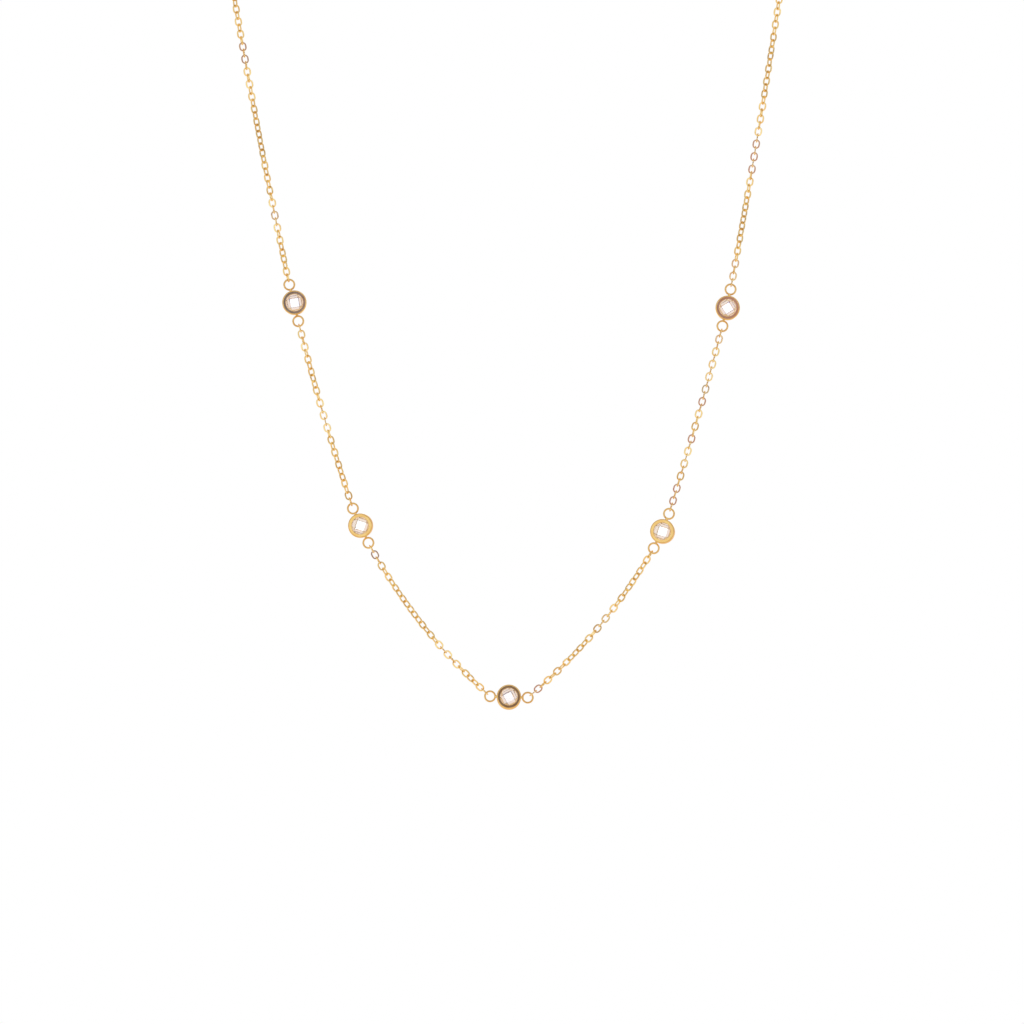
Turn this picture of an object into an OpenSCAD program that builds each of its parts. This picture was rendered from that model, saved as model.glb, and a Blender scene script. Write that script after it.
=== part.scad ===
// Fine cable chain necklace with five round open-back settings, each holding a clear stone.
// It hangs as one closed loop from the nape of the neck, where the origin is.
// +Z is up, +X is to the right as seen from the front, and the front faces -Y. Sizes are in mm.

/* [Chain] */
// Outer length of a link
link_length = 1.77; // [1.77:0.01:1.82]
// Outer width of a link
link_width = 1.32; // [1.24:0.02:1.36]
// Thickness of a link's wire
link_wire = 0.23; // [0.19:0.01:0.23]

/* [Setting] */
// Outer diameter of the bezel
bezel_d = 4.5; // [4.4:0.05:4.6]
// Depth of the bezel from front to back
bezel_depth = 2.2; // [2.1:0.05:2.6]
// Diameter of the window inside the lip
window_d = 3.2; // [3:0.05:3.3]
// Outer diameter of a soldered ring
ring_d = 2.18; // [2.16:0.01:2.2]
// Thickness of a ring's wire
ring_wire = 0.3; // [0.24:0.01:0.32]
// Distance from the bezel's centre to a ring's centre
ring_reach = 3.48; // [3.46:0.01:3.52]

/* [Stone] */
// Diameter of the stone at its girdle
stone_d = 3.76; // [3.66:0.02:3.8]
// Width of the square table
table_w = 1.76; // [1.5:0.02:1.9]
// Width of the square culet
culet_w = 1.56; // [1.3:0.02:1.7]
// How far the table and the culet lie inside the bezel's faces
stone_inset = 0.12; // [0.05:0.01:0.2]

/* [Loop] */
// How far the lowest setting hangs below the nape
drop = 155; // [150:1:165]
// How far the lowest setting lies in front of the nape
reach = 45; // [43:1:48]
// Lean of the front stretch from upright, in degrees
front_lean = 1.5; // [0.5:0.5:3]

/* [Clasp] */
// Diameter of the clasp
clasp_d = 3; // [2.6:0.1:3.4]
// Length of the clasp without its rings
clasp_length = 7; // [6:0.5:8]

/* [Hidden] */

$fn = 48;
// Small gap that keeps neighbouring pieces apart
gap = 0.11;
// Room between a ring's wire and the link that hangs in it
ring_room = 0.125;

// Settings from left to right. Across and up are measured in the front plane from the lowest
// setting. Turn is the line through the two rings, counterclockwise from upright. Spin turns
// the setting about that line. Aside is how far the bezel is soldered off that line. Stone is
// the turn of the stone's square.
SETTINGS = [
    // across, up, turn, spin, aside, stone
    [-39.73, 72.8, 13.8, 0, 0.14, 10],
    [-27.36, 31.66, 24.3, -4, 0, -17.5],
    [0, 0.05, 88, 6, -0.05, 27],
    [28.14, 30.67, -23.9, -5, 0.25, -18],
    [40.19, 71.91, -12.5, 0, 0.2, 31]
];
ACROSS = 0;
UP = 1;
TURN = 2;
SPIN = 3;
ASIDE = 4;
STONE = 5;

// Number of links in the chain between two settings and in each side chain. A bulge is how
// far a chain bows to the right of its way, which runs from its first ring.
span_links = 29;
side_links = 46;
left_upper_bulge = 0.38;
left_lower_bulge = 1.57;
right_lower_bulge = 1.6;
right_upper_bulge = 0.22;
left_side_bulge = -0.3;
right_side_bulge = 0.25;

// Where the front stretch ends, across and up
left_top = [-50.95, 130.4];
right_top = [50.1, 129.9];

// Roll of the links by their number from the first ring: 0 has the odd links edge-on
LEFT_SIDE_ROLL = [
    [1, 12], [3, 30], [5, 50], [8, 72], [10, 88], [13, 86], [15, 66],
    [18, 60], [24, 43], [30, 26], [35, 8], [38, 8], [41, 24], [46, 34]
];
LEFT_UPPER_ROLL = [
    [1, 2], [4, 12], [8, 36], [10, 50], [12, 76], [15, 90], [17, 88],
    [19, 66], [24, 53], [26, 32], [29, 6]
];
LEFT_LOWER_ROLL = [
    [1, 4], [3, 6], [6, 30], [10, 44], [12, 40], [15, 54], [18, 68],
    [20, 88], [22, 84], [24, 74], [26, 44], [29, 4]
];
RIGHT_LOWER_ROLL = [
    [1, 0], [4, 14], [7, 18], [10, 46], [13, 62], [15, 88], [18, 84],
    [20, 65], [22, 58], [24, 41], [27, 31], [29, 12]
];
RIGHT_UPPER_ROLL = [[1, 4], [6, 6], [9, 0], [14, 8], [18, 2], [29, 3]];
RIGHT_SIDE_ROLL = [
    [1, 2], [4, 8], [6, 26], [10, 40], [14, 52], [17, 78], [20, 88],
    [24, 88], [28, 76], [31, 60], [36, 58], [39, 32], [41, 22], [46, 20]
];

// Back stretch: how strongly its curve keeps to the side chain's way and to the clasp's line
back_rise = 20;
back_pull = 26;
back_rings = 24;
back_sides = 8;
// A direction square to the side chains' way, from which the tube's sides are counted
back_square = [0, 0.6, -0.8];

// Ring and link centre lines
ring_line_r = (ring_d - ring_wire) / 2;
bend_r = (link_width - link_wire) / 2;
straight = link_length - link_width;
// From a ring's centre to the centre of the first link that hangs in it
first_link = ring_line_r - ring_wire / 2 - ring_room + link_length / 2 - link_wire;
// From the end of the front stretch to the centre of its last link
last_link = (link_length + gap) / 2;

// Radius of the solder neck between a ring and what carries it
neck_r = 0.2;

// Bezel: wall round the stone, edges of the lip, and the seats over and under the girdle
pocket_d = stone_d + 2 * gap;
outer_bevel = 0.18;
inner_bevel = 0.1;
seat_half = 0.28;
seat_top = 0.76;

// Stone from the side, as reach and height: edges of the table and the culet, the step in
// the crown, the trimmed corners, and where crown and back would meet just past the girdle
stone_half = bezel_depth / 2 - stone_inset;
step_out = 0.69;
step_up = 0.78;
corner_trim = 0.06;
girdle_past = 0.06;
table_edge = [table_w / 2, stone_half];
culet_edge = [culet_w / 2, -stone_half];
crown_step = [step_out * stone_d / 2, step_up * stone_half];
table_corner = [table_w / sqrt(2) - corner_trim, stone_half];
culet_corner = [culet_w / sqrt(2) - corner_trim, -stone_half];
facet_meet = [stone_d / 2 + girdle_past, 0];
// Length of the prisms that cut the stone
prism_length = 2 * stone_d;

// Distance from the clasp's centre to a ring's centre
clasp_ring_reach = clasp_length / 2 + ring_reach - bezel_d / 2;

GOLD = [0.87, 0.7, 0.42];
CHAIN_GOLD = [0.87, 0.72, 0.46];
CLEAR = [0.93, 0.95, 0.97, 0.5];

// A point on the line from p through q, a fifth of its length past q
function past(p, q) = p + 1.2 * (q - p);

// A point at a distance from another, along a heading in degrees
function beyond(p, way, distance) = p + distance * [cos(way), sin(way)];

// Centre of a setting's upper (+1) or lower (-1) ring
function ring_centre(s, end) = beyond([s[ACROSS], s[UP]], s[TURN] + 90, end * ring_reach);

// Arc from a to b that bulges to the right: its chord's heading, half its turn, its length,
// and the heading and the point at a part of its length from 0 to 1
function heading(a, b) = atan2(b[1] - a[1], b[0] - a[0]);
function half_turn(a, b, bulge) = 2 * atan(2 * bulge / norm(b - a));
function arc_length(a, b, bulge) =
    norm(b - a) * half_turn(a, b, bulge) * PI / 180 / sin(half_turn(a, b, bulge));
function arc_heading(a, b, bulge, part) =
    heading(a, b) - half_turn(a, b, bulge) * (1 - 2 * part);
function arc_point(a, b, bulge, part) = let (
    turned = half_turn(a, b, bulge) * part,
    chord = norm(b - a) * sin(turned) / sin(half_turn(a, b, bulge))
) beyond(a, heading(a, b) - half_turn(a, b, bulge) + turned, chord);

// A point or a direction of the front plane, in the necklace's own frame
function lean_out(p) = [p[0], p[1] * sin(front_lean), p[1] * cos(front_lean)];
function in_space(p) = lean_out(p) + [0, -reach, -drop];

// Cubic curve through p[0] and p[3]
function curve(p, t) = (1 - t) ^ 3 * p[0] + 3 * (1 - t) ^ 2 * t * p[1]
    + 3 * (1 - t) * t ^ 2 * p[2] + t ^ 3 * p[3];
function curve_way(p, t) = (1 - t) ^ 2 * (p[1] - p[0])
    + 2 * (1 - t) * t * (p[2] - p[1]) + t ^ 2 * (p[3] - p[2]);

function unit(v) = v / norm(v);

// Back stretch on one side: from the end of the side chain to just outside the clasp's ring
function back_curve(ring, top, bulge) = let (
    way = arc_heading(ring, top, bulge, 1),
    start = in_space(beyond(top, way, gap / 2)),
    side = sign(top[0]),
    finish = [side * (clasp_ring_reach + ring_d / 2 + gap), 0, 0]
) [
    start,
    start + back_rise * lean_out([cos(way), sin(way)]),
    finish + [side * back_pull, 0, 0],
    finish
];

module front_plane() {
    translate([0, -reach, -drop]) rotate([90 - front_lean, 0, 0]) children();
}

module in_setting(s) {
    front_plane() translate([s[ACROSS], s[UP], 0]) rotate([0, 0, s[TURN]]) rotate([0, s[SPIN], 0])
        children();
}

module torus(line_r, wire, angle = 360) {
    rotate_extrude(angle = angle) translate([line_r, 0]) circle(d = wire);
}

// Outline of the bezel's wall, from the front half mirrored to the back
function bezel_front() = [
    [bezel_d / 2, bezel_depth / 2 - outer_bevel],
    [bezel_d / 2 - outer_bevel, bezel_depth / 2],
    [window_d / 2 + inner_bevel, bezel_depth / 2],
    [window_d / 2, bezel_depth / 2 - inner_bevel],
    [window_d / 2, seat_top],
    [pocket_d / 2, seat_half]
];
function bezel_back() = [for (k = [5:-1:0]) [bezel_front()[k][0], -bezel_front()[k][1]]];

// A ring beside its carrier, soldered to it by a short neck
module soldered_ring(carrier_r, distance) {
    translate([0, distance, 0]) torus(ring_line_r, ring_wire);
    translate([0, carrier_r - neck_r / 2, 0]) rotate([-90, 0, 0])
        cylinder(r = neck_r, h = distance - ring_line_r - carrier_r + neck_r / 2);
}

module setting(s) {
    color(GOLD) in_setting(s) {
        translate([s[ASIDE], 0, 0]) rotate_extrude() polygon(concat(bezel_front(), bezel_back()));
        for (end = [0, 180]) rotate([0, 0, end]) soldered_ring(bezel_d / 2, ring_reach);
    }
}

// A prism along Y whose outline is given by its right half, from the top down
module prism(right) {
    left = [for (k = [len(right) - 1:-1:0]) [-right[k][0], right[k][1]]];
    rotate([90, 0, 0]) linear_extrude(prism_length, center = true) polygon(concat(right, left));
}

// The facets are the sides of four prisms: two cut the square and its steps, two its corners
module stone(s) {
    color(CLEAR) in_setting(s) translate([s[ASIDE], 0, 0]) rotate([0, 0, s[STONE] - s[TURN]])
        intersection() {
            cylinder(d = stone_d, h = prism_length, center = true);
            intersection_for(turn = [0, 90]) rotate([0, 0, turn])
                prism([table_edge, crown_step, facet_meet, culet_edge]);
            intersection_for(turn = [45, 135]) rotate([0, 0, turn])
                prism([past(facet_meet, table_corner), facet_meet, past(facet_meet, culet_corner)]);
        }
}

// One link, lying in the XY plane along X
module link() {
    for (side = [-1, 1]) {
        translate([side * straight / 2, 0, 0]) rotate([0, 0, -90 * side])
            torus(bend_r, link_wire, 180);
        translate([0, side * bend_r, 0]) rotate([0, 90, 0])
            cylinder(d = link_wire, h = straight, center = true);
    }
}

// Links along an arc from the ring at a to b, with the given room before b
module chain(a, b, end_room, links, bulge, rolls) {
    run = arc_length(a, b, bulge);
    spacing = (run - first_link - end_room) / (links - 1);
    color(CHAIN_GOLD) front_plane() for (k = [1:links]) {
        part = (first_link + (k - 1) * spacing) / run;
        translate(concat(arc_point(a, b, bulge, part), 0))
            rotate([0, 0, arc_heading(a, b, bulge, part)])
            rotate([90 * (k % 2) + lookup(k, rolls), 0, 0]) link();
    }
}

// Chain from one setting's ring to the next one's
module span(from, from_end, to, to_end, bulge, rolls) {
    chain(ring_centre(SETTINGS[from], from_end), ring_centre(SETTINGS[to], to_end),
        first_link, span_links, bulge, rolls);
}

// Chain from an outer setting's upper ring to the top of the front stretch
module side_chain(from, top, bulge, rolls) {
    chain(ring_centre(SETTINGS[from], 1), top, last_link, side_links, bulge, rolls);
}

// Tube of the chain's width along the back stretch
module back_chain(from, top, bulge) {
    path = back_curve(ring_centre(SETTINGS[from], 1), top, bulge);
    points = [
        for (k = [0:back_rings]) let (
            t = k / back_rings,
            way = unit(curve_way(path, t)),
            out = unit(cross(way, back_square)),
            over = cross(way, out)
        ) for (j = [0:back_sides - 1]) curve(path, t)
            + link_width / 2 * (cos(360 * j / back_sides) * out + sin(360 * j / back_sides) * over)
    ];
    walls = [
        for (k = [0:back_rings - 1]) for (j = [0:back_sides - 1]) let (
            here = k * back_sides,
            next = (j + 1) % back_sides
        ) [here + j, here + back_sides + j, here + back_sides + next, here + next]
    ];
    start_cap = [for (j = [0:back_sides - 1]) j];
    end_cap = [for (j = [back_sides - 1:-1:0]) back_rings * back_sides + j];
    color(CHAIN_GOLD) polyhedron(points, concat(walls, [start_cap, end_cap]));
}

module clasp() {
    color(GOLD) {
        rotate([0, 90, 0]) cylinder(d = clasp_d, h = clasp_length - clasp_d, center = true);
        for (side = [-1, 1]) {
            translate([side * (clasp_length - clasp_d) / 2, 0, 0]) sphere(d = clasp_d);
            rotate([90, 0, 0]) rotate([0, 0, -90 * side])
                soldered_ring(clasp_length / 2, clasp_ring_reach);
        }
    }
}

for (k = [0:4]) {
    setting(SETTINGS[k]);
    stone(SETTINGS[k]);
}
side_chain(0, left_top, left_side_bulge, LEFT_SIDE_ROLL);  // chain_left_side
span(0, -1, 1, 1, left_upper_bulge, LEFT_UPPER_ROLL);  // chain_left_upper
span(1, -1, 2, 1, left_lower_bulge, LEFT_LOWER_ROLL);  // chain_left_lower
span(2, -1, 3, -1, right_lower_bulge, RIGHT_LOWER_ROLL);  // chain_right_lower
span(3, 1, 4, -1, right_upper_bulge, RIGHT_UPPER_ROLL);  // chain_right_upper
side_chain(4, right_top, right_side_bulge, RIGHT_SIDE_ROLL);  // chain_right_side
back_chain(0, left_top, left_side_bulge);  // chain_left_back
back_chain(4, right_top, right_side_bulge);  // chain_right_back
clasp();
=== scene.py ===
# Cubic zirconia necklace: five open-back settings on a fine cable chain that hangs as one loop
import math
import random

import bmesh
import bpy
import numpy as np
from mathutils import Matrix, Vector


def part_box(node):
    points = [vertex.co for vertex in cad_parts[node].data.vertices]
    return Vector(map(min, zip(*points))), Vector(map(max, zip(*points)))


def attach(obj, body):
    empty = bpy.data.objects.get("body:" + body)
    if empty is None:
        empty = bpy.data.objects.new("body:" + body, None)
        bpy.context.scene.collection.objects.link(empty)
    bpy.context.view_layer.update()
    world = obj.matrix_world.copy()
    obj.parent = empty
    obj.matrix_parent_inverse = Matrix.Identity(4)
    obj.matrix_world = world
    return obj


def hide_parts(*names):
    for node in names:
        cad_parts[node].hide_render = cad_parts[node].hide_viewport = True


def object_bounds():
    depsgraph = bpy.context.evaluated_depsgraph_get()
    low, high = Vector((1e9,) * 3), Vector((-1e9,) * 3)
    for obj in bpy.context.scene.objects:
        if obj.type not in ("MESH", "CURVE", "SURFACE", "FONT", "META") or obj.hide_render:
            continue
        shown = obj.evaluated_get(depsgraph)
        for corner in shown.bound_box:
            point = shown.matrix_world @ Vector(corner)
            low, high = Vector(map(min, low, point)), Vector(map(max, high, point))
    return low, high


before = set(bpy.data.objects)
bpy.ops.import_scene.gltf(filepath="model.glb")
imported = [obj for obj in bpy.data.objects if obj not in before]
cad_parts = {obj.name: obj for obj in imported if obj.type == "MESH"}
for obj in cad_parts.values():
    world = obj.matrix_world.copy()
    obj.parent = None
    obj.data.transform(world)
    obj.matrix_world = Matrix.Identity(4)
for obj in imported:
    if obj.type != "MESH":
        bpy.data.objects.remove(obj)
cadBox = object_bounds()

# Sizes in the dictionaries are in millimetres and angles in degrees. Shapes are made in
# millimetres too, and become metres as they are added.
mm = 0.001
quarterTurn = math.radians(90)

# The frame's points nearer than weld are one, and so are points made here nearer than hair
weld = 0.0005
hair = 0.001

# Camera, level and straight in front
cameraSetup = {"across": 0.574, "up": -120.83, "distance": 1645, "lens": 304.93, "sensor": 36}


def makeCamera():
    data = bpy.data.cameras.new("camera")
    data.lens = cameraSetup["lens"]
    data.sensor_width = cameraSetup["sensor"]
    camera = bpy.data.objects.new("camera", data)
    bpy.context.scene.collection.objects.link(camera)
    place = Vector((cameraSetup["across"], -cameraSetup["distance"], cameraSetup["up"]))
    camera.location = place * mm
    camera.rotation_euler = (quarterTurn, 0, 0)
    bpy.context.scene.camera = camera
    print("camera stands", cameraSetup["distance"], "mm in front of the nape")


makeCamera()

# Small helpers for the node trees. A mix node's sockets go by number, because those for colours
# share their names with others.
mixSockets = {"factor": 0, "first": 6, "second": 7, "result": 2}


def addNode(tree, kind, **inputs):
    node = tree.nodes.new(kind)
    for name, value in inputs.items():
        node.inputs[name.replace("_", " ")].default_value = value
    return node


def smoothRange(tree, value, fromMin, fromMax, toMin=0, toMax=1):
    node = addNode(tree, "ShaderNodeMapRange", From_Min=fromMin, From_Max=fromMax,
                   To_Min=toMin, To_Max=toMax)
    node.interpolation_type = "SMOOTHSTEP"
    tree.links.new(value, node.inputs["Value"])
    return node.outputs["Result"]


def mixColour(tree, factor, first, second):
    node = tree.nodes.new("ShaderNodeMix")
    node.data_type = "RGBA"
    for name, value in (("factor", factor), ("first", first), ("second", second)):
        socket = node.inputs[mixSockets[name]]
        if isinstance(value, bpy.types.NodeSocket):
            tree.links.new(value, socket)
        else:
            socket.default_value = value
    return node.outputs[mixSockets["result"]]


def vectorMath(tree, operation, vector):
    node = tree.nodes.new("ShaderNodeVectorMath")
    node.operation = operation
    tree.links.new(vector, node.inputs[0])
    return node


def partsOf(tree, vector):
    node = tree.nodes.new("ShaderNodeSeparateXYZ")
    tree.links.new(vector, node.inputs[0])
    return node.outputs


def towards(azimuth, elevation):
    # Azimuth 0 is the way to the camera and grows to the right as the camera sees it
    azimuth, elevation = math.radians(azimuth), math.radians(elevation)
    flat = math.cos(elevation)
    return (flat * math.sin(azimuth), -flat * math.cos(azimuth), math.sin(elevation))


# Studio: white in front, warm round the sides and behind, and bright straight behind the stones.
# The ranges go by the way along Y, -1 at the camera and 1 behind. The dark round the lens is what
# the flat lips of three settings and some links mirror. It is blue on the left, mauve on the right
# and dim high up, which gold turns bluish, reddish and brown. Past the object the camera itself
# sees plain white.
studio = {
    "front": (1.01, 1.01, 1.01, 1),
    "sides": (0.54, 0.48, 0.44, 1),
    "behind": (0.9, 0.74, 0.66, 1),
    "straight": (1.4, 1.4, 1.4, 1),
    "sidesRange": (-0.96, -0.3),
    "behindRange": (0.3, 0.65),
    "straightRange": (0.994, 0.9985),
    "darkAzimuth": 4.5,
    "darkElevation": 9.5,
    "darkInner": 9.5,
    "darkOuter": 11.5,
    "darkLeft": (0.19, 0.23, 0.58, 1),
    "darkRight": (0.53, 0.37, 0.66, 1),
    "darkHigh": (0.25, 0.21, 0.32, 1),
    "darkSpread": 3,
    "highFrom": 7,
    "highTo": 11,
    "seen": (1, 1, 1, 1),
}

# Light goes many times to and fro inside a cut stone
bounces = {"all": 40, "throughStones": 36, "mirrored": 12}


def roomColour(tree, parts):
    room = studio["front"]
    for name in ("sides", "behind", "straight"):
        begins, ends = studio[name + "Range"]
        share = smoothRange(tree, parts["Y"], begins, ends)
        room = mixColour(tree, share, room, studio[name])
    return room


def withDark(tree, direction, parts, room):
    spread = math.sin(math.radians(studio["darkSpread"]))
    fromLeft = smoothRange(tree, parts["X"], -spread, spread)
    dark = mixColour(tree, fromLeft, studio["darkLeft"], studio["darkRight"])
    low, high = (math.sin(math.radians(studio[name])) for name in ("highFrom", "highTo"))
    highPart = smoothRange(tree, parts["Z"], low, high)
    dark = mixColour(tree, highPart, dark, studio["darkHigh"])
    aim = vectorMath(tree, "DOT_PRODUCT", direction)
    aim.inputs[1].default_value = towards(studio["darkAzimuth"], studio["darkElevation"])
    outer, inner = (math.cos(math.radians(studio[name])) for name in ("darkOuter", "darkInner"))
    inDark = smoothRange(tree, aim.outputs["Value"], outer, inner)
    return mixColour(tree, inDark, room, dark)


def makeStudio():
    world = bpy.data.worlds.new("studio")
    bpy.context.scene.world = world
    world.use_nodes = True
    tree = world.node_tree
    tree.nodes.clear()
    direction = tree.nodes.new("ShaderNodeTexCoord").outputs["Generated"]
    parts = partsOf(tree, direction)
    room = withDark(tree, direction, parts, roomColour(tree, parts))
    seen = tree.nodes.new("ShaderNodeLightPath").outputs["Is Camera Ray"]
    light = tree.nodes.new("ShaderNodeBackground")
    tree.links.new(mixColour(tree, seen, room, studio["seen"]), light.inputs["Color"])
    out = tree.nodes.new("ShaderNodeOutputWorld")
    tree.links.new(light.outputs[0], out.inputs["Surface"])

    scene = bpy.context.scene
    scene.view_settings.view_transform = "Standard"
    scene.view_settings.look = "None"
    scene.cycles.max_bounces = bounces["all"]
    scene.cycles.transmission_bounces = bounces["throughStones"]
    scene.cycles.glossy_bounces = bounces["mirrored"]
    print("studio light is set")


makeStudio()

# Pale floor some way below the hanging loop. It is not lit but glows, and its glow is painted light.
# It is white to the camera. What mirrors it sees a painted warm glow close by and painted shade in
# front, and far off the room's own colour, so that gold mirrors no hard horizon.
floorSetup = {"size": 20000, "below": 60, "unlit": (0, 0, 0, 1), "near": (0.94, 0.81, 0.72, 1),
              "frontShade": (0.5, 0.4, 0.34, 1), "frontRange": (-0.6, -0.88),
              "nearTo": 300, "farFrom": 2400}


def makeFloorMaterial():
    material = bpy.data.materials.new("glowingFloor")
    material.use_nodes = True
    tree = material.node_tree
    shader = tree.nodes["Principled BSDF"]
    shader.inputs["Base Color"].default_value = floorSetup["unlit"]
    shader.inputs["Specular IOR Level"].default_value = 0
    shader.inputs["Emission Strength"].default_value = 1
    place = tree.nodes.new("ShaderNodeTexCoord").outputs["Object"]
    distance = vectorMath(tree, "LENGTH", place).outputs["Value"]
    farOff = smoothRange(tree, distance, floorSetup["nearTo"] * mm, floorSetup["farFrom"] * mm)
    parts = partsOf(tree, vectorMath(tree, "NORMALIZE", place).outputs["Vector"])
    # Painted light for mirrored rays: a warm glow near the loop, painted shade in front of it
    begins, ends = floorSetup["frontRange"]
    frontShade = smoothRange(tree, parts["Y"], begins, ends)
    near = mixColour(tree, frontShade, floorSetup["near"], floorSetup["frontShade"])
    mirrored = mixColour(tree, farOff, near, roomColour(tree, parts))
    seen = tree.nodes.new("ShaderNodeLightPath").outputs["Is Camera Ray"]
    # The floor glows plain white to the camera and with the painted light to all other rays
    glow = mixColour(tree, seen, mirrored, studio["seen"])
    tree.links.new(glow, shader.inputs["Emission Color"])
    return material


def makeFloor():
    bm = bmesh.new()
    level = cadBox[0][2] - floorSetup["below"] * mm
    bmesh.ops.create_grid(bm, x_segments=1, y_segments=1, size=floorSetup["size"] * mm / 2,
                          matrix=Matrix.Translation((0, 0, level)))
    mesh = bpy.data.meshes.new("floor")
    bm.to_mesh(mesh)
    bm.free()
    floor = bpy.data.objects.new("floor", mesh)
    floor.data.materials.append(makeFloorMaterial())
    bpy.context.scene.collection.objects.link(floor)
    print("floor lies", floorSetup["below"], "mm below the loop")


makeFloor()


# Solids of a frame's node, in millimetres, each as its triangles' corners
def solidsOf(node):
    bm = bmesh.new()
    bm.from_mesh(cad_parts[node].data)
    bmesh.ops.scale(bm, vec=(1 / mm, 1 / mm, 1 / mm), verts=bm.verts)
    bmesh.ops.remove_doubles(bm, verts=bm.verts, dist=weld)
    bmesh.ops.triangulate(bm, faces=bm.faces)
    solids = []
    solidOf = {}
    for start in bm.verts:
        if start in solidOf:
            continue
        solidOf[start] = []
        solids.append(solidOf[start])
        stack = [start]
        while stack:
            vert = stack.pop()
            for other in (edge.other_vert(vert) for edge in vert.link_edges):
                if other not in solidOf:
                    solidOf[other] = solidOf[vert]
                    stack.append(other)
    for face in bm.faces:
        solidOf[face.verts[0]].append([tuple(vert.co) for vert in face.verts])
    bm.free()
    return [np.array(triangles) for triangles in solids]


# Place of a link or setting, which lies square in its own three axes: the centre of its surface,
# its longest axis and its shortest. A triangle's spread comes from its corners and their sum.
def placeOf(corners):
    first, second, third = corners[:, 0], corners[:, 1], corners[:, 2]
    areas = np.linalg.norm(np.cross(second - first, third - first), axis=1)
    centre = (corners.mean(axis=1) * areas[:, None]).sum(axis=0) / areas.sum()
    shifted = corners - centre
    points = np.concatenate([shifted, shifted.sum(axis=1, keepdims=True)], axis=1)
    spread = np.einsum("t,tka,tkb->ab", areas, points, points)
    axes = np.linalg.eigh(spread)[1]
    normal, length = Vector(axes[:, 0]), Vector(axes[:, 2])
    if normal.y > 0:
        normal.negate()
    if length.z < 0:
        length.negate()
    return Vector(centre), length, normal


def turnTo(x, y, z):
    return Matrix((x, y, z)).transposed().to_4x4()


# Gold, polished, with faint ripples and a slight unevenness of colour and gloss. The seats inside
# the settings get a paler copy of it, painted light where the bezel shades them. Patches and ripples
# are noise, and ripples are the finer.
goldLooks = {
    "settingGold": {"colour": (0.91, 0.65, 0.25, 1), "deep": (0.85, 0.55, 0.19, 1),
                    "edge": (0.95, 0.74, 0.36, 1), "gloss": (0.04, 0.09), "grain": 0.9, "bump": 0.03},
    # Seats: the setting's gold painted paler, painted light inside the shaded bezel
    "litSeatGold": {"colour": (0.96, 0.8, 0.52, 1), "deep": (0.87, 0.65, 0.36, 1),
                 "edge": (1, 1, 1, 1), "gloss": (0.05, 0.12), "grain": 0.9, "bump": 0.02},
    "chainGold": {"colour": (0.99, 0.8, 0.37, 1), "deep": (0.91, 0.65, 0.27, 1),
                  "edge": (1, 0.88, 0.66, 1), "gloss": (0.06, 0.14), "grain": 1.1, "bump": 0.04},
}
goldPattern = {"patches": (0.35, 0.65), "patchDetail": 3, "finer": 3, "rippleDetail": 2,
               "rippleHeight": 0.05}


def makeGold(name):
    look = goldLooks[name]
    material = bpy.data.materials.new(name)
    material.use_nodes = True
    tree = material.node_tree
    shader = tree.nodes["Principled BSDF"]
    shader.inputs["Metallic"].default_value = 1
    shader.inputs["Specular Tint"].default_value = look["edge"]
    place = tree.nodes.new("ShaderNodeTexCoord").outputs["Object"]
    clouds = addNode(tree, "ShaderNodeTexNoise", Scale=look["grain"] / mm,
                     Detail=goldPattern["patchDetail"])
    tree.links.new(place, clouds.inputs["Vector"])
    low, high = goldPattern["patches"]
    patches = smoothRange(tree, clouds.outputs["Fac"], low, high)
    colour = mixColour(tree, patches, look["deep"], look["colour"])
    tree.links.new(colour, shader.inputs["Base Color"])
    glossy, duller = look["gloss"]
    gloss = smoothRange(tree, clouds.outputs["Fac"], low, high, glossy, duller)
    tree.links.new(gloss, shader.inputs["Roughness"])
    ripple = addNode(tree, "ShaderNodeTexNoise", Scale=goldPattern["finer"] * look["grain"] / mm,
                     Detail=goldPattern["rippleDetail"])
    tree.links.new(place, ripple.inputs["Vector"])
    bump = addNode(tree, "ShaderNodeBump", Strength=look["bump"],
                   Distance=goldPattern["rippleHeight"] * mm)
    tree.links.new(ripple.outputs["Fac"], bump.inputs["Height"])
    tree.links.new(bump.outputs["Normal"], shader.inputs["Normal"])
    return material


# Cubic zirconia, clear and all but colourless, with a faint warm cloud in it
stoneLook = {"index": 2.15, "clear": (1, 1, 1, 1), "cloud": (0.97, 0.955, 0.94, 1),
             "cloudSize": 1.4, "cloudDetail": 1}


def makeStoneMaterial():
    material = bpy.data.materials.new("clearStone")
    material.use_nodes = True
    tree = material.node_tree
    shader = tree.nodes["Principled BSDF"]
    shader.inputs["Roughness"].default_value = 0
    shader.inputs["IOR"].default_value = stoneLook["index"]
    shader.inputs["Transmission Weight"].default_value = 1
    place = tree.nodes.new("ShaderNodeTexCoord").outputs["Object"]
    clouds = addNode(tree, "ShaderNodeTexNoise", Scale=1 / (stoneLook["cloudSize"] * mm),
                     Detail=stoneLook["cloudDetail"])
    tree.links.new(place, clouds.inputs["Vector"])
    colour = mixColour(tree, clouds.outputs["Fac"], stoneLook["clear"], stoneLook["cloud"])
    tree.links.new(colour, shader.inputs["Base Color"])
    return material


materials = {name: makeGold(name) for name in goldLooks}
materials["clearStone"] = makeStoneMaterial()
print("materials:", ", ".join(materials))

# Edges that turn by more than this stay sharp to the light
sharpFrom = 40


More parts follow.
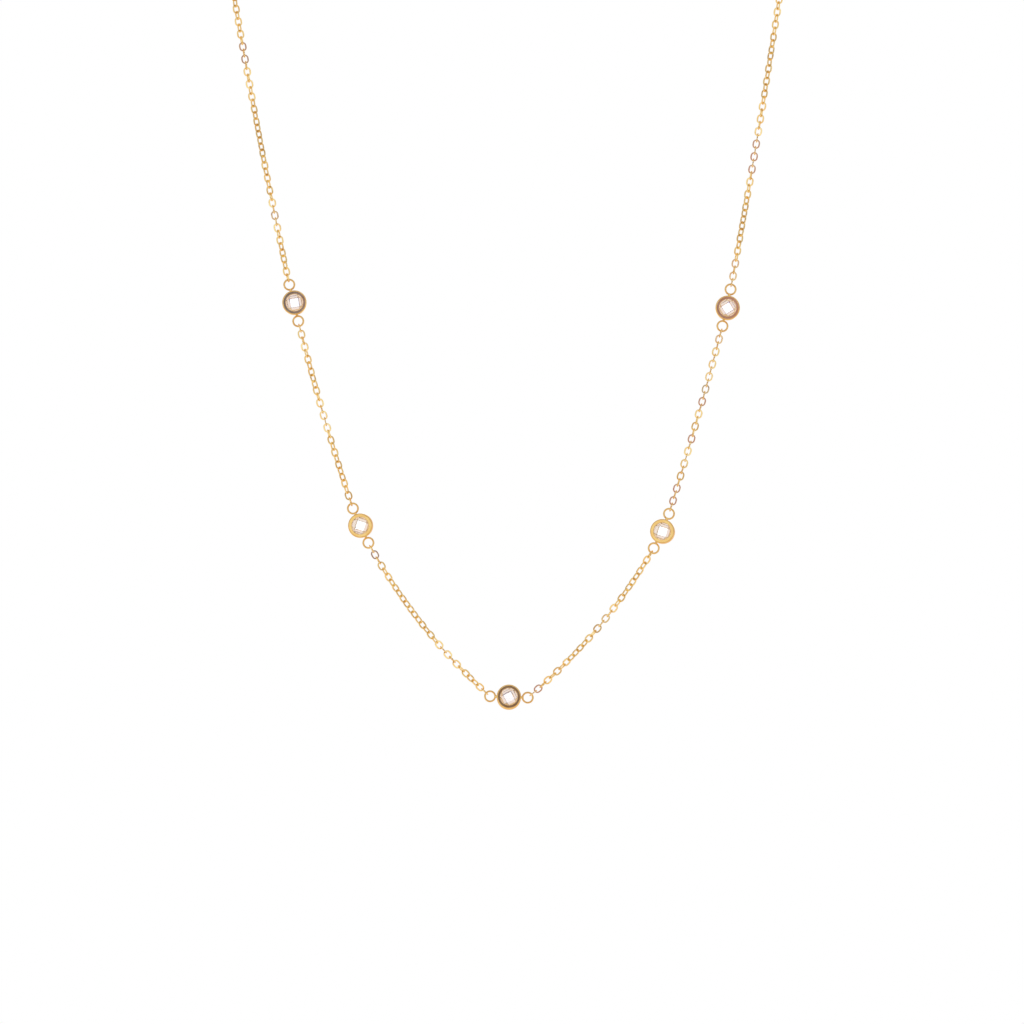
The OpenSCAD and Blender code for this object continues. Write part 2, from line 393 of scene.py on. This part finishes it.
def addPiece(name, bm, finishes, node):
    # A bmesh in millimetres becomes a piece in metres that stands for a node of the frame
    bmesh.ops.scale(bm, vec=(mm, mm, mm), verts=bm.verts)
    mesh = bpy.data.meshes.new(name)
    bm.to_mesh(mesh)
    bm.free()
    mesh.shade_smooth()
    mesh.set_sharp_from_angle(angle=math.radians(sharpFrom))
    piece = bpy.data.objects.new(name, mesh)
    for finish in finishes:
        piece.data.materials.append(materials[finish])
    bpy.context.scene.collection.objects.link(piece)
    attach(piece, "root")
    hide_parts(node)


def edgesOf(geometry):
    return [part for part in geometry if isinstance(part, bmesh.types.BMEdge)]


def vertsOf(geometry):
    return [part for part in geometry if isinstance(part, bmesh.types.BMVert)]


def closedOutline(bm, points):
    verts = [bm.verts.new(point) for point in points]
    for vert, after in zip(verts, verts[1:] + verts[:1]):
        bm.edges.new((vert, after))


# Soldered metal: shapes that overlap become one closed solid, without the slivers of the join
sliver = 0.002


def united(shapes):
    helpers = []
    for bm in shapes:
        mesh = bpy.data.meshes.new("shape")
        bm.to_mesh(mesh)
        bm.free()
        helpers.append(bpy.data.objects.new("shape", mesh))
        bpy.context.scene.collection.objects.link(helpers[-1])
    for helper in helpers[1:]:
        solder = helpers[0].modifiers.new("solder", "BOOLEAN")
        solder.operation = "UNION"
        solder.solver = "EXACT"
        solder.object = helper
    whole = helpers[0].evaluated_get(bpy.context.evaluated_depsgraph_get())
    bm = bmesh.new()
    bm.from_mesh(whole.to_mesh())
    whole.to_mesh_clear()
    bmesh.ops.remove_doubles(bm, verts=bm.verts, dist=sliver)
    bmesh.ops.dissolve_degenerate(bm, dist=sliver, edges=bm.edges)
    for helper in helpers:
        bpy.data.meshes.remove(helper.data)
    return bm


# Wire ring with its solder neck, beside a carrier at the origin, up along Y. Line is the radius of
# the wire's middle, and the neck starts sunk into the carrier.
ringSetup = {"line": 0.94, "wire": 0.33, "wireSides": 16, "steps": 64,
             "neckWide": 0.27, "neckSlim": 0.19, "sunk": 0.1, "neckSides": 24}


def makeRing(across, distance, carrier, side):
    size = ringSetup
    ring = bmesh.new()
    centre = Vector((across, side * distance, 0))
    begin = Matrix.Translation(centre + Vector((size["line"], 0, 0)))
    section = bmesh.ops.create_circle(ring, segments=size["wireSides"], radius=size["wire"] / 2,
                                      matrix=begin @ Matrix.Rotation(quarterTurn, 4, "X"))
    bmesh.ops.spin(ring, geom=section["verts"] + ring.edges[:], cent=centre, axis=(0, 0, 1),
                   angle=math.tau, steps=size["steps"], use_merge=True)
    bmesh.ops.recalc_face_normals(ring, faces=ring.faces)

    neck = bmesh.new()
    start = carrier - size["sunk"]
    length = distance - size["line"] - start
    middle = Matrix.Translation((across, side * (start + length / 2), 0))
    bmesh.ops.create_cone(neck, cap_ends=True, segments=size["neckSides"],
                          radius1=size["neckWide"], radius2=size["neckSlim"], depth=length,
                          matrix=middle @ Matrix.Rotation(-quarterTurn * side, 4, "X"))
    return [ring, neck]


# Bezel: a wall round the stone with a lip on both faces, open in front and behind, and a groove
# inside whose slopes are the stone's seats. The lip falls outwards a little, so it mirrors more to
# each side. Half is of the depth, keepFlat is left flat beside each rounded edge, and reach is from
# the middle to a ring's centre.
settingCount = 5
bezelSetup = {"radius": 2.25, "half": 1.1, "window": 1.6, "pocket": 1.99, "seatTop": 0.76,
              "seatHalf": 0.28, "outerRound": 0.2, "innerRound": 0.04, "roundSteps": 4,
              "roundProfile": 0.5, "keepFlat": 0.02, "lipFall": 0.8, "reach": 3.48, "steps": 96}


def makeBezel():
    size = bezelSetup
    flatOuter = size["radius"] - size["outerRound"] - size["keepFlat"]
    flatInner = size["window"] + size["innerRound"] + size["keepFlat"]
    fall = (flatOuter - flatInner) * math.tan(math.radians(size["lipFall"]))
    rim = size["half"] - fall
    upper = [(size["radius"], rim - size["outerRound"] - size["keepFlat"]), (size["radius"], rim),
             (flatOuter, rim), (flatInner, size["half"]), (size["window"], size["half"]),
             (size["window"], size["seatTop"]), (size["pocket"], size["seatHalf"])]
    outline = upper + [(radius, -up) for radius, up in reversed(upper)]
    bm = bmesh.new()
    closedOutline(bm, [(radius, 0, up) for radius, up in outline])
    bmesh.ops.spin(bm, geom=bm.verts[:] + bm.edges[:], cent=(0, 0, 0), axis=(0, 0, 1),
                   angle=math.tau, steps=size["steps"], use_merge=True)
    bmesh.ops.recalc_face_normals(bm, faces=bm.faces)
    for radius, level, rounding in ((size["radius"], rim, size["outerRound"]),
                                    (size["window"], size["half"], size["innerRound"])):
        corner = [edge for edge in bm.edges
                  if all(abs(vert.co.xy.length - radius) < hair and abs(abs(vert.co.z) - level) < hair
                         for vert in edge.verts)]
        bmesh.ops.bevel(bm, geom=corner, offset=rounding, offset_type="OFFSET", affect="EDGES",
                        segments=size["roundSteps"], profile=size["roundProfile"], material=-1)
    return bm


def addSetting(number):
    node = "setting_%d" % number
    solid = solidsOf(node)[0]
    centre, length, normal = placeOf(solid)
    turn = turnTo(length.cross(normal), length, normal)

    # In its own axes the rings lie on one line, a little beside the bezel's middle
    local = (solid.reshape(-1, 3) - np.array(centre)) @ np.array(turn.to_3x3())
    middle = (local.min(axis=0) + local.max(axis=0)) / 2
    tips = local[np.abs(local[:, 1] - middle[1]) > bezelSetup["reach"], 0]
    ringLine = (tips.min() + tips.max()) / 2
    shapes = [makeBezel()]
    for side in (1, -1):
        shapes += makeRing(ringLine - middle[0], bezelSetup["reach"], bezelSetup["radius"], side)
    bm = united(shapes)

    # The seats inside the window have the second finish, the same gold painted paler as painted light
    seatsReach = (bezelSetup["pocket"] + bezelSetup["radius"]) / 2
    seatsUpTo = bezelSetup["half"] - bezelSetup["innerRound"]
    for face in bm.faces:
        spot = face.calc_center_median()
        if spot.xy.length < seatsReach and abs(spot.z) < seatsUpTo:
            face.material_index = 1
    place = Matrix.Translation(centre) @ turn @ Matrix.Translation(middle)
    bmesh.ops.transform(bm, matrix=place, verts=bm.verts)
    print(node, "has", len(bm.faces), "faces")
    addPiece("bezel_%d" % number, bm, ["settingGold", "litSeatGold"], node)


for number in range(1, settingCount + 1):
    addSetting(number)
    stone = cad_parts["stone_%d" % number]
    stone.data.materials.clear()
    stone.data.materials.append(materials["clearStone"])

# One link: a wire rolled flat on its four sides, with cut corners, and bent to a long oval. It lies
# in the XY plane along X.
linkSetup = {"length": 1.745, "width": 1.38, "wire": 0.27, "thick": 0.21, "cut": 0.035,
             "bendSteps": 8}


def makeLink():
    bend = (linkSetup["width"] - linkSetup["wire"]) / 2
    straight = linkSetup["length"] - linkSetup["width"]
    wide, thick, cut = linkSetup["wire"] / 2, linkSetup["thick"] / 2, linkSetup["cut"]
    outline = []
    for across, up in ((1, 1), (-1, 1), (-1, -1), (1, -1)):
        corner = [(across * wide, up * (thick - cut)), (across * (wide - cut), up * thick)]
        outline += corner if across == up else corner[::-1]
    bm = bmesh.new()
    closedOutline(bm, [(straight / 2, across - bend, up) for across, up in outline])
    ring = bm.edges[:]
    for side in (1, -1):
        bent = bmesh.ops.spin(bm, geom=ring, cent=(side * straight / 2, 0, 0), axis=(0, 0, 1),
                              angle=math.pi, steps=linkSetup["bendSteps"], use_merge=False)
        pulled = bmesh.ops.extrude_edge_only(bm, edges=edgesOf(bent["geom_last"]))["geom"]
        moved = vertsOf(pulled)
        bmesh.ops.translate(bm, verts=moved, vec=(-side * straight, 0, 0))
        ring = [edge for edge in edgesOf(pulled) if all(vert in moved for vert in edge.verts)]
    bmesh.ops.remove_doubles(bm, verts=bm.verts, dist=hair)
    bmesh.ops.recalc_face_normals(bm, faces=bm.faces)
    mesh = bpy.data.meshes.new("link")
    bm.to_mesh(mesh)
    bm.free()
    return mesh


linkMesh = makeLink()
print("a link has", len(linkMesh.polygons), "faces")

# Each link sways by a few degrees, so that each mirrors something else: it turns about its length
# the more it faces the front, and tips a little. The seed is the one of many whose dark links fall
# nearest to where the photo has them. With this wire and sway, neighbouring links cut into each
# other by up to 0.05 mm.
swaySetup = {"turn": 9, "tip": 3, "seed": 2244}
sway = random.Random(swaySetup["seed"])


def swayed(place):
    centre, length, normal = place
    turn = math.radians(sway.uniform(-1, 1) * swaySetup["turn"] * normal.y ** 2)
    tip = math.radians(sway.uniform(-1, 1) * swaySetup["tip"])
    normal = Matrix.Rotation(turn, 3, length) @ normal
    tipped = Matrix.Rotation(tip, 3, normal.cross(length))
    return centre, tipped @ length, tipped @ normal


def addLinks(name, node, places):
    bm = bmesh.new()
    for place in places:
        centre, length, normal = swayed(place)
        before = len(bm.verts)
        bm.from_mesh(linkMesh)
        bm.verts.ensure_lookup_table()
        move = Matrix.Translation(centre) @ turnTo(length, normal.cross(length), normal)
        bmesh.ops.transform(bm, matrix=move, verts=bm.verts[before:])
    addPiece(name, bm, ["chainGold"], node)


# Strands of the front, link by link where the frame has them, and from low to high, so that each
# run's draws meet the same links
strands = ("left_side", "left_upper", "left_lower", "right_lower", "right_upper", "right_side")
linkPlaces = {}
for strand in strands:
    node = "chain_" + strand
    linkPlaces[strand] = sorted(map(placeOf, solidsOf(node)), key=lambda place: place[0].z)
    addLinks("links_" + strand, node, linkPlaces[strand])
    print(node, "has", len(linkPlaces[strand]), "links")

# Back of the loop: the same chain goes on round the neck to the clasp's rings. Lead is from the
# centre of the front's last link to the end of the front stretch. From there a curve runs to the
# clasp, and rise and pull are the lengths of its handles at its two ends.
backSetup = {"lead": 0.995, "rise": 19.7, "pull": 25.9, "room": 0.11, "samples": 400}


def curvePoint(points, share):
    near, nearPull, farPull, far = points
    rest = 1 - share
    return (near * rest ** 3 + nearPull * 3 * rest * rest * share
            + farPull * 3 * rest * share * share + far * share ** 3)


def backPath(side, last, way):
    start = last + way * backSetup["lead"]
    finish = Vector((side * (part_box("clasp")[1][0] / mm + backSetup["room"]), 0, 0))
    points = (start, start + way * backSetup["rise"],
              finish + Vector((side * backSetup["pull"], 0, 0)), finish)
    samples = backSetup["samples"]
    return [last] + [curvePoint(points, step / samples) for step in range(samples + 1)]


def backPlaces(side, places):
    # The two topmost links of the front give the way on
    before, last = places[-2:]
    gap = last[0] - before[0]
    path = backPath(side, last[0], gap.normalized())
    reached = [0]
    for here, after in zip(path, path[1:]):
        reached.append(reached[-1] + (after - here).length)
    count = round(reached[-1] / gap.length)

    # Each link's normal is carried along the path without turning about it
    placed = []
    normal = last[2]
    for k in range(1, count + 1):
        distance = reached[-1] * k / count
        at = max(n for n in range(len(path) - 1) if reached[n] <= distance)
        part = (distance - reached[at]) / (reached[at + 1] - reached[at])
        length = (path[at + 1] - path[at]).normalized()
        normal = (normal - length * normal.dot(length)).normalized()
        placed.append([path[at].lerp(path[at + 1], part), length, normal])
    return placed


def roll(places):
    # Every other link stands square to its neighbours, and the last square to the clasp's ring
    count = len(places)
    quarters = [quarterTurn * (k % 2) for k in range(1, count + 1)]
    endLength, endNormal = places[-1][1:]
    endNormal = Matrix.Rotation(quarters[-1], 3, endLength) @ endNormal
    twist = math.atan2(endNormal.cross(Vector((0, 0, 1))).dot(endLength), endNormal.z)
    twist = (twist + quarterTurn) % math.pi - quarterTurn
    for k, place in enumerate(places):
        turn = quarters[k] + twist * (k + 1) / count
        place[2] = Matrix.Rotation(turn, 3, place[1]) @ place[2]


for side, name in ((-1, "left"), (1, "right")):
    places = backPlaces(side, linkPlaces[name + "_side"])
    roll(places)
    addLinks("links_%s_back" % name, "chain_%s_back" % name, places)
    print(name, "back has", len(places), "links")

# Clasp: one plain closed capsule with two soldered rings
claspSetup = {"radius": 1.495, "length": 7, "reach": 4.73, "segments": 48, "rings": 24}


def addClasp():
    size = claspSetup
    capsule = bmesh.new()
    bmesh.ops.create_uvsphere(capsule, u_segments=size["segments"], v_segments=size["rings"],
                              radius=size["radius"], matrix=Matrix.Rotation(quarterTurn, 4, "X"))
    pull = size["length"] / 2 - size["radius"]
    for side in (1, -1):
        half = [vert for vert in capsule.verts if vert.co.y * side > hair]
        bmesh.ops.translate(capsule, verts=half, vec=(0, side * pull, 0))
    shapes = [capsule]
    for side in (1, -1):
        shapes += makeRing(0, size["reach"], size["length"] / 2, side)
    bm = united(shapes)
    turn = turnTo(Vector((0, 0, -1)), Vector((1, 0, 0)), Vector((0, -1, 0)))
    bmesh.ops.transform(bm, matrix=turn, verts=bm.verts)
    print("clasp has", len(bm.faces), "faces")
    addPiece("closed_clasp", bm, ["settingGold"], "clasp")


addClasp()
